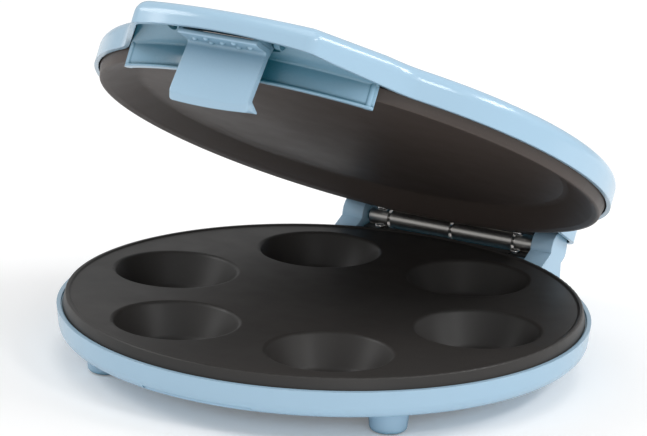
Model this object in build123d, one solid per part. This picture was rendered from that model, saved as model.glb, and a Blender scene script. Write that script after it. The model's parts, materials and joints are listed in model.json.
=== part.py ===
from build123d import *
import math
import os

# Round six-cup cupcake maker with a hinged lid and a front latch.
# Lengths are millimetres and angles are degrees.
# The front is towards -Y, the hinge is at the back and +Z is up.
# Pieces are drawn about the middle of the plates, the lid's closed and then
# turned open about the hinge. Each is then moved forward, so that the origin
# lies on the worktop under the middle of the whole appliance.

# Stance and opening of the lid
rim_height = 33.0          # worktop to the rim of the lower plate
rim_gap = 1.3              # gap between the two rims when closed
lid_open_angle = 30.0      # how far the lid stands open
latch_swing = 22.0         # how far the latch stands out from its hooked place

# Cooking plates, both cast in the same outline
plate_radius = 130.0
plate_wall = 2.0
bead_width = 2.6
bead_height = 0.8
band_height = 6.5          # depth of the plate's outer side band
band_flare = 1.4           # how much the band widens towards the shell
band_reveal = 5.8          # how much of the band stands clear of the shell

# Wells of the lower plate
well_count = 6
well_ring_radius = 86.0
well_mouth_radius = 31.5
well_floor_radius = 21.5
well_depth = 18.0
well_floor_fillet = 6.0
well_lip_fillet = 2.4

# Pan of the upper plate, which leaves room for the cake tops
pan_lip_width = 4.0
pan_slope_width = 15.0
pan_depth = 8.5

# Screwed bosses under and over the plates
boss_radius = 4.5
boss_ring_radius = 54.0
boss_count = 3
screw_radius = 1.9
screw_head_radius = 3.4
screw_head_height = 1.8
screw_clearance = 0.1
screw_grip = 9.0           # length of screw inside a boss

# Heating elements and heat shields
element_radius = 3.25
element_lower_ring = 40.0
element_upper_ring = 66.0
element_leg_spacing = 12.0
element_leg_reach = 108.0
seat_gap = 0.2             # gap between an inner piece and its seat
shield_wall = 0.6
shield_flat_radius = 101.0
shield_rim_rise = 3.0
shield_rim_run = 10.0
cover_radius = 99.0
cover_rim_run = 7.0
cover_rim_drop = 3.5

# Plastic shells
shell_wall = 2.2
band_clearance = 0.7       # between the plate's band and the shell
base_underside = 6.2       # worktop to the flat of the underside
base_edge_height = 12.7    # worktop to the lower edge of the side wall
base_flat_radius = 102.0
base_shoulder_radius = 116.0
base_lean = 1.6            # how much the side wall draws in towards the bottom
base_edge_fillet = 7.0

# Feet
foot_count = 4
foot_ring_radius = 112.0
foot_radius = 10.4
foot_taper = 1.3
foot_fillet = 2.6
foot_socket_height = 12.5
foot_socket_wall = 1.2
foot_socket_roof = 1.8
foot_clearance = 0.25
pad_radius = 5.5
pad_height = 1.2
pad_proud = 0.3
pad_clearance = 0.1
foot_screw_length = 8.0

# Hinge at the back
hinge_setback = 13.0       # hinge axis behind the plate's edge
knuckle_radius = 4.7
pin_radius = 2.4
pin_clearance = 0.06
knuckle_half_length = 48.0
outer_knuckle_length = 10.6
knuckle_gap = 1.6
leaf_wall = 1.2
leaf_depth = 10.4          # hinge axis to the front edge of a leaf
leaf_relief = 5.8          # hinge axis to the cut beside the other leaf's knuckle
leaf_screw_offset = 40.0
leaf_screw_setback = 7.6
leaf_screw_radius = 1.5
leaf_screw_head = 2.7
leaf_rib_count = 3

# Hinge towers of the base and the bay behind them
tower_inner = 49.6
tower_width = 12.0
tower_radius = 9.5
tower_foot = 26.0          # front foot of a tower before the hinge axis
tower_step = 2.2           # rounded cap of a tower over its waist
bay_back = 3.0             # back of the bay behind the hinge axis
bay_reach = 42.0           # how far the bay runs forward into the base
bay_floor_height = 13.0

# Lid shell, heights above the rim plane of the upper plate
lid_edge_height = 5.6
lid_shoulder_height = 21.5
lid_shoulder_fillet = 7.0
lid_crown_height = 25.4
lid_crown_radius = 106.0
lid_crown_start = 127.0
panel_wall = 2.2
panel_dome = 1.8
panel_groove = 1.5

# Handle at the front of the lid
handle_reach = 38.4        # front edge beyond the plate's edge
handle_front_half = 49.0
handle_front_sag = 7.9
handle_side_half = 80.5
handle_side_reach = -25.0  # where the sides run out, beyond the plate's edge
handle_corner_fillet = 9.0
handle_blend_fillet = 40.0
handle_top_drop = 3.2      # fall of the handle's top towards the front
handle_arch_rise = 1.6

# Hood over the hinge at the back of the lid
hood_half = 66.0
hood_wall_gap = 11.6       # hinge axis to the inside of the hood's back wall
hood_corner_fillet = 10.0

# Liner under the handle with its skirt in front of the plates
skirt_radius = 136.8
skirt_wall = 2.2
skirt_drop = 6.7           # skirt below the rim plane
skirt_half_angle = 29.5
skirt_top = 5.4
lip_proud = 1.1
lip_height = 1.3
liner_wall = 1.8
liner_rise = 7.0
liner_clearance = 0.35
liner_screw_offset = 36.0
liner_screw_reach = 15.5
liner_screw_radius = 3.2
liner_screw_grip = 4.0

# Latch
latch_half_width = 21.5
latch_wall = 2.6
latch_pivot_reach = 17.5   # pivot axis beyond the plate's edge
latch_pivot_height = 12.0  # pivot axis above the rim plane
latch_pin_radius = 1.5
latch_window_half = 23.2
latch_ear_width = 3.2
latch_lean = 12.0          # inward lean of the flap when hooked
hook_inset = 9.0           # reach of the hook behind the flap
hook_height = 6.4
ledge_height = 15.5        # catch ledge above the worktop
ledge_depth = 2.8
ledge_half_width = 30.0
hook_clearance = 0.5
pad_reach = 16.0           # front edge of the finger pad before the pivot
pad_drop = 7.6             # underside of the finger pad below the pivot
bump_pitch = 15.0
bump_row_pitch = 4.4
bump_radius = 1.7

# Controls and fittings
lens_radius = 3.0
lens_offset = 11.0
lens_ring_radius = 114.0
lamp_radius = 2.0
gland_half_width = 8.0
gland_half_height = 3.6
gland_proud = 1.2
gland_slot_half_width = 3.2
gland_slot_half_height = 1.5
gland_drop = 16.4          # hinge axis to the middle of the gland

# Heights and radii that follow from the sizes above
plate_top = rim_height - bead_height
plate_under = plate_top - plate_wall
band_radius = plate_radius + band_flare
shell_inner_radius = band_radius + band_clearance
shell_radius = shell_inner_radius + shell_wall
base_top = rim_height - band_reveal
lid_rim = rim_height + rim_gap
hinge_y = plate_radius + hinge_setback
hinge_z = rim_height + rim_gap / 2
deck_height = hinge_z - knuckle_radius - 0.05
tower_outer = tower_inner + tower_width
hood_back = hinge_y + hood_wall_gap + shell_wall
latch_y = -(plate_radius + latch_pivot_reach)
latch_z = lid_rim + latch_pivot_height
hinge_axis = Axis((0, hinge_y, hinge_z), (-1, 0, 0))
latch_axis = Axis((0, latch_y, latch_z), (-1, 0, 0))
hood_round_y = hood_wall_gap + shell_wall - lid_shoulder_fillet
hood_round_z = rim_gap / 2 + lid_shoulder_height - lid_shoulder_fillet
lid_angle = math.radians(lid_open_angle)
hood_turned = hood_round_y * math.cos(lid_angle) + hood_round_z * math.sin(lid_angle)
rear_reach = hinge_y + hood_turned + lid_shoulder_fillet
origin_y = (rear_reach - shell_radius) / 2


def outline(*corners):
    """Closed flat outline from (x, y, corner radius)."""
    points = [(x, y) for x, y, radius in corners]
    radii = [radius for x, y, radius in corners]
    return make_face(FilletPolyline(*points, radius=radii, close=True))


def turned(*corners):
    """Solid turned about the Z axis from (radius, height, corner radius)."""
    return revolve(Plane.XZ * outline(*corners), Axis.Z)


def profile_along_x(face, start, end):
    """Solid from a flat (y, z) face that runs from x = start to x = end."""
    return Pos(start, 0, 0) * extrude(Plane.YZ * face, end - start)


def upright(radius, bottom, top, x=0.0, y=0.0):
    """Upright round bar between two heights."""
    height = top - bottom
    return Pos(x, y, bottom + height / 2) * Cylinder(radius, height)


def bar_along_x(radius, start, end, y, z):
    """Round bar along X."""
    place = Pos((start + end) / 2, y, z) * Rot(0, 90, 0)
    return place * Cylinder(radius, end - start)


def block(x0, x1, y0, y1, z0, z1):
    """Plain block between three pairs of limits."""
    centre = Pos((x0 + x1) / 2, (y0 + y1) / 2, (z0 + z1) / 2)
    return centre * Box(x1 - x0, y1 - y0, z1 - z0)


def ring_places(count, radius, start=0.0):
    """Evenly spaced places on a circle round the middle of the plates."""
    step = 360.0 / count
    angles = [math.radians(start + step * i) for i in range(count)]
    return [(radius * math.cos(a), radius * math.sin(a)) for a in angles]


def opened(shape):
    """Piece of the lid, turned to where the lid stands open."""
    return shape.rotate(hinge_axis, lid_open_angle)


def save(shape, name):
    """Write one node to its own file, moved to the shared origin."""
    export_step(Pos(0, -origin_y, 0) * shape, f"parts/{name}.step")


# Lower cooking plate

def well_cutter():
    """Space of one well, with its rounded lip."""
    floor = plate_top - well_depth
    flare = well_mouth_radius + 1.6 * well_lip_fillet
    return turned(
        (0, floor, 0),
        (well_floor_radius, floor, well_floor_fillet),
        (well_mouth_radius, plate_top, well_lip_fillet),
        (flare, plate_top, 0),
        (flare, plate_top + 1, 0),
        (0, plate_top + 1, 0),
    )


def well_cup():
    """Outside of one well, a wall thicker than the well."""
    floor = plate_top - well_depth - plate_wall
    return turned(
        (0, floor, 0),
        (well_floor_radius + plate_wall, floor, well_floor_fillet + plate_wall),
        (well_mouth_radius + plate_wall, plate_top - plate_wall / 2, 0),
        (0, plate_top - plate_wall / 2, 0),
    )


def make_lower_plate():
    """Cast plate with six wells, a rim bead and a side band."""
    band_foot = rim_height - band_height
    bead_inner = plate_radius - bead_width
    plate = turned(
        (0, plate_top, 0),
        (bead_inner, plate_top, 0.9),
        (bead_inner + bead_height, rim_height, 0.5),
        (plate_radius, rim_height, 0.9),
        (band_radius, band_foot, 0),
        (band_radius - plate_wall, band_foot, 0),
        (plate_radius - plate_wall, plate_under, 1.0),
        (0, plate_under, 0),
    )
    places = ring_places(well_count, well_ring_radius)
    for x, y in places:
        plate += Pos(x, y, 0) * well_cup()
    for x, y in boss_places():
        plate += upright(boss_radius, lower_boss_end(), plate_under + 0.5, x, y)
    for x, y in places:
        plate -= Pos(x, y, 0) * well_cutter()
    for x, y in boss_places():
        hole_top = lower_boss_end() + screw_grip + 1
        plate -= upright(screw_radius + screw_clearance, lower_boss_end() - 1, hole_top, x, y)
    return plate


def boss_places():
    """Bosses stand between the wells, clear of the element's legs."""
    return ring_places(boss_count, boss_ring_radius, 30)


def shield_height():
    """Underside of the lower heat shield, just over the base shell's floor."""
    return base_underside + shell_wall + 1.1


def lower_boss_end():
    """Lower end of the plate's bosses, on top of the shield."""
    return shield_height() + shield_wall


# Base shell

def base_bowl(inset, top):
    """Outer form of the base for inset 0, its hollow for the wall's inset."""
    edge = base_edge_height + inset
    wall_foot = shell_radius - base_lean - inset
    return turned(
        (0, base_underside + inset, 0),
        (base_flat_radius, base_underside + inset, 12),
        (base_shoulder_radius, edge - 0.7, 12),
        (wall_foot, edge, base_edge_fillet - inset),
        (shell_radius - inset, top, 0),
        (0, top, 0),
    )


def foot_places():
    return ring_places(foot_count, foot_ring_radius, 45)


def tower_profile():
    """Side view of a hinge tower, rounded over the pin and stepped behind."""
    back = math.radians(-40)
    waist_y = hinge_y + bay_back
    step = (hinge_y + tower_radius * math.cos(back), hinge_z + tower_radius * math.sin(back))
    crown = hinge_z + tower_radius
    front = hinge_y - tower_radius
    arc = ThreePointArc(step, (hinge_y, crown), (front, hinge_z))
    rest = Polyline(
        (front, hinge_z),
        (hinge_y - tower_foot, base_top - 1),
        (hinge_y - tower_foot, bay_floor_height + 4),
        (waist_y, bay_floor_height + 4),
        (waist_y, step[1] - tower_step),
        step,
    )
    return make_face(arc + rest)


def base_bay(inset, top):
    """Bay at the back that carries the hinge, outside or hollow."""
    half = tower_outer - inset
    back = hinge_y + bay_back - inset
    front = hinge_y - bay_reach
    height = top - (bay_floor_height + inset)
    flat = outline(
        (-half, front, 0), (half, front, 0),
        (half, back, 6 - inset), (-half, back, 6 - inset),
    )
    return Pos(0, 0, bay_floor_height + inset) * extrude(flat, height)


def make_base_shell():
    """Moulded tray with hinge towers, foot sockets and a catch ledge."""
    shell = base_bowl(0, base_top)
    bay = base_bay(0, deck_height)
    shell += bay
    for side in (-1, 1):
        inner, outer = sorted((side * tower_inner, side * tower_outer))
        shell += profile_along_x(tower_profile(), inner, outer)
    shell -= base_bowl(shell_wall, base_top + 30)
    shell -= base_bay(shell_wall, deck_height - shell_wall)
    shell -= upright(shell_inner_radius, base_top - 1, hinge_z + 30)
    shell += catch_block() & base_bowl(0, base_top)
    shell -= catch_cutter()
    for x, y in foot_places():
        hollow = foot_radius + foot_clearance
        roof = foot_socket_height + foot_socket_roof
        socket = upright(hollow + foot_socket_wall, base_underside, roof, x, y)
        shell += socket & base_bowl(0, base_top)
        shell -= upright(hollow, base_underside - 2, foot_socket_height, x, y)
        shell -= upright(screw_radius + screw_clearance, foot_socket_height - 1, roof + 1, x, y)
    for x, y in boss_places():
        shell += upright(boss_radius + 3, base_underside + shell_wall - 0.5, shield_height() - 0.1, x, y)
        recess = screw_head_radius + 0.3
        shell -= upright(recess, base_underside - 1, base_screw_seat(), x, y)
        shell -= upright(screw_radius + screw_clearance, base_underside, shield_height() + 1, x, y)
    shell -= bar_along_x(pin_radius + pin_clearance, -pin_half(), pin_half(), hinge_y, hinge_z)
    shell -= gland_hole()
    for side in (-1, 1):
        shell -= leaf_screw_hole(side, deck_height - shell_wall - 1, deck_height + 1)
    return shell


def catch_block():
    """Thicker wall behind the catch ledge."""
    outer = upright(shell_radius, base_underside, ledge_height + 3)
    inner = upright(shell_radius - base_lean - ledge_depth - shell_wall, base_underside - 1, ledge_height + 4)
    front = block(-ledge_half_width - 2, ledge_half_width + 2, -200, 0, 0, 100)
    return (outer - inner) & front


def catch_cutter():
    """Undercut at the front that the latch hooks behind."""
    outer = upright(shell_radius + 5, base_underside - 3, ledge_height)
    inner = upright(ledge_radius(), base_underside - 4, ledge_height + 1)
    front = block(-ledge_half_width, ledge_half_width, -200, 0, 0, 100)
    return (outer - inner) & front


def ledge_radius():
    """Radius of the recessed strip below the ledge."""
    return shell_radius - base_lean - ledge_depth


def base_screw_seat():
    """Height that the base screws' heads bear against."""
    return base_underside + screw_head_height + 0.3


def pin_half():
    """Half the length of the hinge pin, ending inside the towers."""
    return tower_outer - 3


def gland_centre():
    return hinge_y + bay_back, hinge_z - gland_drop


def gland_hole():
    """Hole in the back wall for the cord gland's body."""
    y, z = gland_centre()
    flat = RectangleRounded(2 * gland_half_width - 3, 2 * gland_half_height - 3, 2)
    return Pos(0, y + 2, z) * Rot(90, 0, 0) * extrude(flat, 6)


def make_cord_gland():
    """Rear gland: a flange outside, a body in the wall and a flat slot."""
    y, z = gland_centre()
    wide, high = 2 * gland_half_width, 2 * gland_half_height
    flange = extrude(RectangleRounded(wide, high, 3), gland_proud)
    flange = fillet(flange.edges().group_by(Axis.Z)[0], 0.6)
    body_length = shell_wall + 2.5
    fit = 2 * liner_clearance
    body = extrude(RectangleRounded(wide - 3 - fit, high - 3 - fit, 1.6), gland_proud + body_length)
    slot_size = (2 * gland_slot_half_width, 2 * gland_slot_half_height)
    slot = extrude(RectangleRounded(*slot_size, 1.4), gland_proud + body_length)
    turn = Pos(0, y + gland_proud + 0.05, z) * Rot(90, 0, 0)
    return turn * (flange + body - slot)


# Feet

def make_feet():
    """Four tapered feet, each with a shallow seat for its pad."""
    feet = []
    for x, y in foot_places():
        top = foot_socket_height - seat_gap
        foot = turned(
            (0, pad_proud, 0),
            (foot_radius - foot_taper, pad_proud, foot_fillet),
            (foot_radius, top, 0),
            (0, top, 0),
        )
        foot -= upright(pad_radius + pad_clearance, 0, pad_height)
        foot -= upright(screw_radius + screw_clearance, top - foot_screw_length, top + 1)
        feet.append(Pos(x, y, 0) * foot)
    return Compound([f.solid() for f in feet])


def make_foot_pads():
    """Round non-slip pads that stand just proud of the feet."""
    pads = [upright(pad_radius, 0, pad_height - 0.05, x, y) for x, y in foot_places()]
    return Compound([p.solid() for p in pads])


# Hinge

def leaf_screw_hole(side, bottom, top):
    """Hole for a leaf screw."""
    x = side * leaf_screw_offset
    return upright(leaf_screw_radius + screw_clearance, bottom, top, x, hinge_y - leaf_screw_setback)


def knuckle(start, end):
    """One rolled knuckle of a leaf."""
    tube = bar_along_x(knuckle_radius, start, end, hinge_y, hinge_z)
    bore = bar_along_x(pin_radius + pin_clearance, start - 1, end + 1, hinge_y, hinge_z)
    return tube, bore


def outer_knuckle_start():
    return knuckle_half_length - outer_knuckle_length


def make_lower_leaf():
    """Leaf on the base with the two short outer knuckles."""
    bottom = hinge_z - knuckle_radius
    front = hinge_y - leaf_depth
    relief = hinge_y - leaf_relief
    half = knuckle_half_length
    leaf = block(-half, half, front, relief, bottom, bottom + leaf_wall)
    for side in (-1, 1):
        start, end = sorted((side * outer_knuckle_start(), side * half))
        tube, bore = knuckle(start, end)
        leaf += block(start, end, relief - 0.5, hinge_y, bottom, bottom + leaf_wall)
        leaf += tube
        leaf -= bore
        leaf -= leaf_screw_hole(side, bottom - 1, bottom + leaf_wall + 1)
    return leaf


def make_upper_leaf():
    """Leaf on the lid with the two long inner knuckles and pressed ribs."""
    top = hinge_z + knuckle_radius
    front = hinge_y - leaf_depth
    relief = hinge_y - leaf_relief
    half = knuckle_half_length
    inner_end = outer_knuckle_start() - knuckle_gap
    leaf = block(-half, half, front, relief, top - leaf_wall, top)
    for side in (-1, 1):
        start, end = sorted((side * knuckle_gap / 2, side * inner_end))
        tube, bore = knuckle(start, end)
        leaf += block(start, end, relief - 0.5, hinge_y, top - leaf_wall, top)
        leaf += tube
        leaf -= bore
        leaf -= leaf_screw_hole(side, top - leaf_wall - 1, top + 1)
    rib_half = leaf_screw_offset - 8
    for i in range(leaf_rib_count):
        y = front + 1.2 + i * 1.6
        leaf += bar_along_x(0.45, -rib_half, rib_half, y, top - leaf_wall)
    return leaf


def make_hinge_pin():
    """Steel pin through both leaves and into the towers."""
    return bar_along_x(pin_radius, -pin_half() + 0.2, pin_half() - 0.2, hinge_y, hinge_z)


def pan_head_screw(length, head_up, shank=screw_radius, head=screw_head_radius):
    """Screw with its head's seat at height 0 and its shank below or above it."""
    top = screw_head_height
    cap = turned((0, 0, 0), (head, 0, 0), (head - 0.6, top, 0), (0, top, 0))
    screw = cap + upright(shank, -length, 0)
    if head_up:
        return screw
    return Rot(180, 0, 0) * screw


def make_lower_leaf_screws():
    """Two screws that hold the lower leaf to the bay's deck."""
    seat = hinge_z - knuckle_radius + leaf_wall + 0.02
    y = hinge_y - leaf_screw_setback
    screw = pan_head_screw(5, True, leaf_screw_radius, leaf_screw_head)
    screws = [Pos(side * leaf_screw_offset, y, seat) * screw for side in (-1, 1)]
    return Compound([s.solid() for s in screws])


def make_upper_leaf_screws():
    """Two screws that hold the upper leaf to the lid's beam."""
    seat = hinge_z + knuckle_radius - leaf_wall - 0.02
    y = hinge_y - leaf_screw_setback
    screw = pan_head_screw(8, False, leaf_screw_radius, leaf_screw_head)
    screws = [Pos(side * leaf_screw_offset, y, seat) * screw for side in (-1, 1)]
    return Compound([s.solid() for s in screws])


# Parts inside the base

def element(ring, height, leg_angle):
    """Open heating ring with two legs that run out to the terminals."""
    gap = math.degrees(math.asin(element_leg_spacing / 2 / ring)) + 6
    loop = CenterArc((0, 0), ring, leg_angle + gap, 360 - 2 * gap)
    legs = []
    for end, side in ((loop @ 0, 1), (loop @ 1, -1)):
        out = Vector(math.cos(math.radians(leg_angle)), math.sin(math.radians(leg_angle)))
        across = Vector(-out.Y, out.X) * side * element_leg_spacing / 2
        corner = out * (ring + 12) + across
        tip = out * element_leg_reach + across
        legs.append((Vector(end.X, end.Y), corner, tip))
    section = Circle(element_radius)
    body = sweep(Plane(loop @ 0, z_dir=loop % 0) * section, loop)
    for start, corner, tip in legs:
        for a, b in ((start, corner), (corner, tip)):
            run = b - a
            place = Plane(a, z_dir=run)
            body += place * Pos(0, 0, run.length / 2) * Cylinder(element_radius, run.length)
        for joint in (start, corner):
            body += Pos(joint.X, joint.Y, 0) * Sphere(element_radius)
    return Pos(0, 0, height) * body


def make_lower_element():
    """Ring under the lower plate, its legs between the two rear wells."""
    return element(element_lower_ring, plate_under - seat_gap - element_radius, 90)


def make_lower_shield():
    """Pressed tray under the wells, notched round the foot sockets."""
    low = shield_height()
    rim_radius = shield_flat_radius + shield_rim_run
    rim_top = low + shield_rim_rise
    shield = turned(
        (0, low, 0),
        (shield_flat_radius, low, 2),
        (rim_radius, rim_top, 0),
        (rim_radius, rim_top + shield_wall, 0),
        (shield_flat_radius, low + shield_wall, 2),
        (0, low + shield_wall, 0),
    )
    for x, y in foot_places():
        notch = foot_radius + foot_clearance + foot_socket_wall + 1.8
        shield -= upright(notch, 0, rim_height, x, y)
    for x, y in boss_places():
        shield -= upright(screw_radius + 0.3, 0, rim_height, x, y)
    return shield


def make_thermostat():
    """Snap-disc thermostat pressed up against the plate's underside."""
    top = plate_under - seat_gap
    can = turned((0, top - 7, 0), (8, top - 7, 0), (8, top, 0.6), (0, top, 0))
    flange = block(-13, 13, -4.5, 4.5, top - 1.2, top)
    flange = fillet(flange.edges().filter_by(Axis.Z), 4)
    base = upright(7, top - 12, top - 6.5)
    tabs = block(-9.5, -8.7, -2.4, 2.4, top - 12, top - 8) + block(8.7, 9.5, -2.4, 2.4, top - 12, top - 8)
    arms = block(-9.5, 9.5, -2.4, 2.4, top - 8.6, top - 7.8)
    return can + flange + base + tabs + arms


def make_thermal_fuse():
    """Sleeved fuse held in a clip against the plate's underside."""
    z = plate_under - seat_gap - 3.2
    body = bar_along_x(2.2, -11, 11, -20, z)
    lead = bar_along_x(0.6, -19, 19, -20, z)
    clip = bar_along_x(3.0, -3, 3, -20, z) - bar_along_x(2.1, -4, 4, -20, z - 1.5)
    tongue = block(-3, 3, -28, -20, z + 2.2, z + 3.0)
    return body + lead + clip + tongue


def make_terminal_block():
    """Ceramic terminal block on the bay's floor, in front of the gland."""
    floor = bay_floor_height + shell_wall + 0.05
    y = hinge_y - 9
    body = block(-16, 16, y - 5, y + 5, floor, floor + 8)
    body = fillet(body.edges().filter_by(Axis.Z), 1.5)
    for x in (-10, 0, 10):
        body -= upright(2.2, floor + 3.5, floor + 9, x, y)
    return body


def make_base_screws():
    """Three screws through the underside and the shield into the plate."""
    screws = []
    for x, y in boss_places():
        screw = pan_head_screw(lower_boss_end() - base_screw_seat() + screw_grip, False)
        screws.append(Pos(x, y, base_screw_seat() - 0.02) * screw)
    return Compound([s.solid() for s in screws])


def make_foot_screws():
    """One screw down through the shell into each foot."""
    seat = foot_socket_height + foot_socket_roof + 0.02
    screws = []
    for x, y in foot_places():
        screws.append(Pos(x, y, seat) * pan_head_screw(foot_screw_length, True))
    return Compound([s.solid() for s in screws])


# Lid shell

def lid_flat(inset):
    """Plan of the lid: the round body, the handle and the hinge hood."""
    reach = plate_radius + handle_reach - inset
    front_half = handle_front_half - inset * 0.9
    side_half = handle_side_half - inset * 1.15
    side_y = -(plate_radius + handle_side_reach)
    corner_y = -(reach - handle_front_sag)
    front = ThreePointArc((-front_half, corner_y), (0, -reach), (front_half, corner_y))
    sides = Polyline((front_half, corner_y), (side_half, side_y), (-side_half, side_y), (-front_half, corner_y))
    handle = make_face(front + sides)
    hood_side = hood_half - inset
    back = hood_back - inset
    hood = outline(
        (-hood_side, 40, 0), (hood_side, 40, 0),
        (hood_side, back, hood_corner_fillet - inset),
        (-hood_side, back, hood_corner_fillet - inset),
    )
    body = Circle(shell_radius - inset) + handle + hood
    corners = body.vertices()
    front_corners = corners.filter_by(lambda v: v.Y < corner_y + 1)
    body = fillet(front_corners, handle_corner_fillet - inset)
    corners = body.vertices()
    joins = corners.filter_by(lambda v: side_y - 20 < v.Y < side_y + 40 and abs(v.X) > front_half + 12)
    body = fillet(joins, handle_blend_fillet + inset)
    corners = body.vertices()
    hood_joins = corners.filter_by(lambda v: 60 < v.Y < plate_radius and abs(abs(v.X) - hood_side) < 0.5)
    return fillet(hood_joins, 6 + inset)


def lid_body(inset, bottom):
    """Outer form of the lid for inset 0, its hollow for the wall's inset."""
    top = lid_rim + lid_shoulder_height - inset
    body = Pos(0, 0, bottom) * extrude(lid_flat(inset), top - bottom)
    run = handle_reach + 12
    fall_start = -(plate_radius - 12)
    wedge = make_face(Polyline(
        (fall_start, top), (fall_start - run * 1.2, top + 2),
        (fall_start - run * 1.2, top - handle_top_drop * 1.2), close=True,
    ))
    body -= profile_along_x(wedge, -120, 120)
    rounding = body.edges().filter_by(lambda e: e.center().Z > top - handle_top_drop - 0.5)
    rounding = rounding.filter_by(lambda e: abs(e.center().X) > 1 or e.center().Y > 0 or e.center().Y < fall_start - 5)
    body = fillet(rounding, lid_shoulder_fillet - inset)
    crown = turned(
        (0, top - 3, 0),
        (lid_crown_start - inset, top - 3, 0),
        (lid_crown_start - inset, top - 0.3, 0),
        (lid_crown_radius, lid_rim + lid_crown_height - inset, 0),
        (0, lid_rim + lid_crown_height - inset, 0),
    )
    return body + crown


def make_lid_shell():
    """Moulded lid with its handle, hinge hood, beam and panel seat."""
    bottom = lid_rim + lid_edge_height
    shell = lid_body(0, bottom) - lid_body(shell_wall, bottom - 5)
    arch_half = handle_front_half + 6
    arch_radius = (arch_half ** 2 + handle_arch_rise ** 2) / (2 * handle_arch_rise)
    arch_centre = bottom + handle_arch_rise - arch_radius
    arch = Pos(0, -(plate_radius + handle_reach), arch_centre) * Rot(90, 0, 0)
    shell -= arch * Cylinder(arch_radius, 2 * handle_reach)
    seat = lid_rim + lid_crown_height - panel_groove
    shell -= upright(lid_crown_radius - 3, seat, seat + 10)
    shell += hinge_beam()
    for side in (-1, 1):
        shell -= leaf_screw_hole(side, hinge_z, hinge_z + knuckle_radius + 8)
        shell -= Pos(*lens_place(side)) * Cylinder(lens_radius + 0.1, 20)
        shell += liner_post(side)
    return shell


def hinge_beam():
    """Beam inside the lid that the upper leaf is screwed to."""
    low = hinge_z + knuckle_radius + 0.05
    high = lid_rim + lid_shoulder_height - shell_wall / 2
    half = knuckle_half_length
    front = hinge_y - leaf_depth
    beam = block(-half, half, front, front + 6, low, high)
    for i in range(-3, 4):
        beam -= block(i * 12 - 4, i * 12 + 4, front - 1, front + 3.5, low + 3, high - 1)
    return beam


def liner_post(side):
    """Post from the lid's top down to the handle liner."""
    x, y = side * liner_screw_offset, -(plate_radius + liner_screw_reach)
    low = liner_ceiling(y, x) + liner_wall + 0.1
    post = upright(boss_radius - 1, low, lid_rim + lid_shoulder_height - shell_wall - 0.8, x, y)
    hole_top = liner_ceiling(y, x) + liner_screw_grip + 1.0
    return post - upright(1.3, low - 1, hole_top, x, y)


def lens_place(side):
    """Place of a pilot lens on the lid, in front of the middle panel."""
    x = side * lens_offset
    y = -math.sqrt(lens_ring_radius ** 2 - x ** 2)
    rise = (lid_crown_start - lens_ring_radius) / (lid_crown_start - lid_crown_radius)
    low = lid_rim + lid_shoulder_height
    return x, y, low + rise * (lid_crown_height - lid_shoulder_height)


def make_top_panel():
    """Domed round panel set into the top of the lid, in a narrow groove."""
    seat = lid_rim + lid_crown_height - panel_groove + 0.05
    edge = lid_crown_radius - 3 - panel_groove
    top = seat + panel_wall
    disc = turned((0, seat, 0), (edge, seat, 0), (edge, top, 0.9), (0, top, 0))
    dome_radius = (edge ** 2 + panel_dome ** 2) / (2 * panel_dome)
    dome = Pos(0, 0, top + panel_dome - dome_radius) * Sphere(dome_radius)
    cap = dome & upright(edge - 1.6, seat + 0.5, top + panel_dome + 1)
    return disc + cap


# Handle liner

def liner_ceiling(y, x=0.0):
    """Height of the liner's underside at the skirt, rising to the front."""
    radius = math.hypot(x, y)
    run = min(1.0, max(0.0, (radius - skirt_radius - skirt_wall) / 11))
    return lid_rim + skirt_top + liner_rise * math.sin(run * math.pi / 2)


def make_handle_liner():
    """Skirt in front of the plates and the hollow ceiling of the handle."""
    skirt_outer = skirt_radius + skirt_wall
    low = lid_rim - skirt_drop
    top = lid_rim + skirt_top
    high = top + liner_rise
    front = plate_radius + handle_reach + 2
    section = outline(
        (skirt_radius, low, 0),
        (skirt_outer + lip_proud, low, 0.4),
        (skirt_outer + lip_proud, low + lip_height, 0.4),
        (skirt_outer - 0.5, low + lip_height, 0),
        (skirt_outer, low + lip_height + 1.4, 0),
        (skirt_outer, top, 1.0),
        (skirt_outer + 11, high, 9),
        (front, high, 0),
        (front, high + liner_wall, 0),
        (skirt_outer + 11 - 1, high + liner_wall, 9),
        (skirt_outer - 2, top + liner_wall, 0),
        (skirt_radius, top + liner_wall, 0),
    )
    liner = revolve(Plane.XZ * section, Axis.Z, 2 * skirt_half_angle)
    liner = liner.rotate(Axis.Z, -90 - skirt_half_angle)
    liner = liner & lid_body(shell_wall + liner_clearance, low - 5)
    for side in (-1, 1):
        liner += skirt_end(side)
    window = block(-latch_window_half, latch_window_half, -300, latch_y + 5.6, lid_rim + 1, high + 10)
    liner -= window
    for side in (-1, 1):
        liner += latch_ear(side)
        x, y = side * liner_screw_offset, -(plate_radius + liner_screw_reach)
        ceiling = liner_ceiling(y, x)
        liner -= upright(screw_radius - 0.6, lid_rim, high + 20, x, y)
        liner -= upright(liner_screw_radius, lid_rim, ceiling + 0.8, x, y)
    liner -= bar_along_x(latch_pin_radius + pin_clearance, -ear_outer(), ear_outer(), latch_y, latch_z)
    return liner


def skirt_end(side):
    """Rounded post at each end of the skirt."""
    angle = math.radians(-90 + side * (skirt_half_angle - 1.2))
    radius = skirt_radius + skirt_wall / 2
    x, y = radius * math.cos(angle), radius * math.sin(angle)
    return upright(skirt_wall * 0.8, lid_rim - skirt_drop, lid_rim + skirt_top + liner_wall, x, y)


def ear_outer():
    return latch_window_half + latch_ear_width


def latch_ear(side):
    """Ear on the liner that carries one end of the latch pin."""
    inner, outer = sorted((side * latch_window_half, side * ear_outer()))
    ceiling = lid_rim + skirt_top + liner_rise
    ear = block(inner, outer, latch_y - 4, latch_y + 4, latch_z, ceiling + liner_wall / 2)
    boss = bar_along_x(4.0, inner, outer, latch_y, latch_z)
    return ear + boss


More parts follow.
